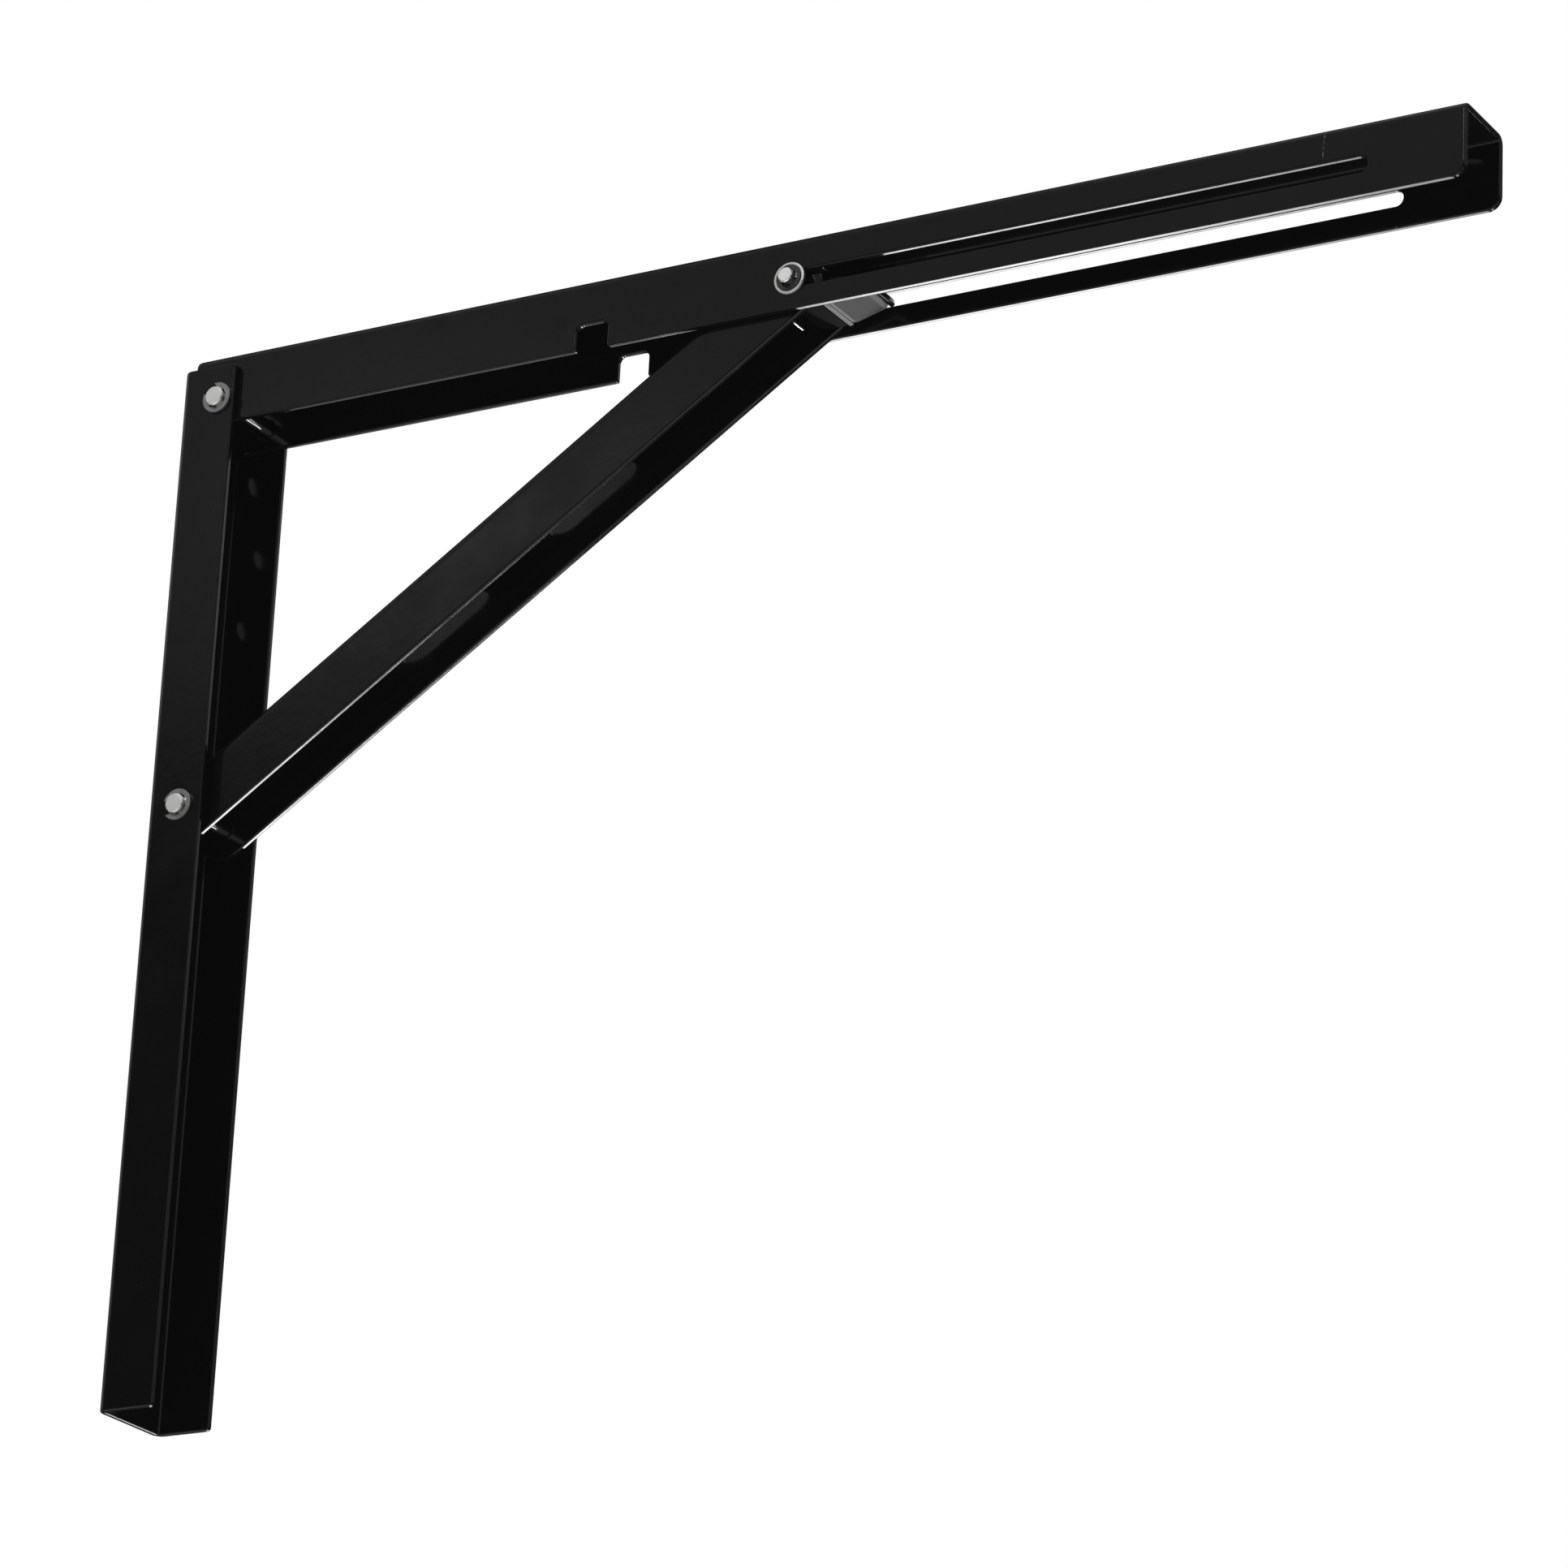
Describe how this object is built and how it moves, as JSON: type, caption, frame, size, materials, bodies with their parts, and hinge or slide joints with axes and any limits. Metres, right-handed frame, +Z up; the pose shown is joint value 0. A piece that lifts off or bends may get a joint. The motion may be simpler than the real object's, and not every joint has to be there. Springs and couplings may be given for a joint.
{
  "type": "folding shelf bracket",
  "caption": "Folding steel shelf bracket: wall channel, drop-down arm and sliding brace that nest in each other, with a sprung release lever.",
  "frame": {"origin": "on the wall plane, midway across the bracket, level with the arm pivot", "axes": "+X out of the wall along the open arm, +Y across the bracket along the pivot pins, +Z up"},
  "size_m": [0.4147, 0.0343, 0.3235],
  "materials": {
    "black_paint": "gloss black enamel",
    "bright_zinc": "bright zinc plate",
    "washer_zinc": "satin zinc plate",
    "clip_steel": "grey phosphated spring steel",
    "grey_pad": "fine satin moulded plastic",
    "spring_wire": "drawn spring wire"
  },
  "bodies": {
    "wall": {"wall_channel": "black_paint", "arm_pivot_pin": "bright_zinc", "arm_pivot_clip": "clip_steel", "brace_pivot_pin": "bright_zinc", "brace_pivot_clip": "clip_steel"},
    "arm": {"arm_channel": "black_paint"},
    "slider": {"slide_stud_near": "bright_zinc", "slide_stud_far": "bright_zinc", "slide_washer_near": "washer_zinc", "slide_washer_far": "washer_zinc", "slide_clip": "clip_steel"},
    "brace": {"brace_channel": "black_paint", "slide_shaft": "bright_zinc"},
    "lever": {"release_lever": "black_paint", "lever_pad": "grey_pad", "lever_spring": "spring_wire"}
  },
  "joints": [
    {"name": "arm_fold", "type": "hinge", "parent": "wall", "child": "arm", "pos_m": [0.0135, 0, 0], "axis": [0, 1, 0], "range_deg": [0, 90]},
    {"name": "brace_fold", "type": "hinge", "parent": "wall", "child": "brace", "pos_m": [0.0113, 0, -0.1282], "axis": [0, 1, 0], "range_deg": [0, 122.62]},
    {"name": "brace_slide", "type": "slide", "parent": "arm", "child": "slider", "axis": [1, 0, 0], "range_m": [0, 0.17]},
    {"name": "lever_press", "type": "hinge", "parent": "brace", "child": "lever", "pos_m": [0.2072, 0, 0.0024], "axis": [0, -1, 0], "range_deg": [0, 16], "stiffness_Nm_per_rad": 0.05, "springref_deg": -57.3}
  ],
  "couplings": [
    {"joint": "brace_fold", "follows": "arm_fold", "ratio": 1.3619},
    {"joint": "brace_slide", "follows": "arm_fold", "m_per_rad": 0.10816}
  ]
}
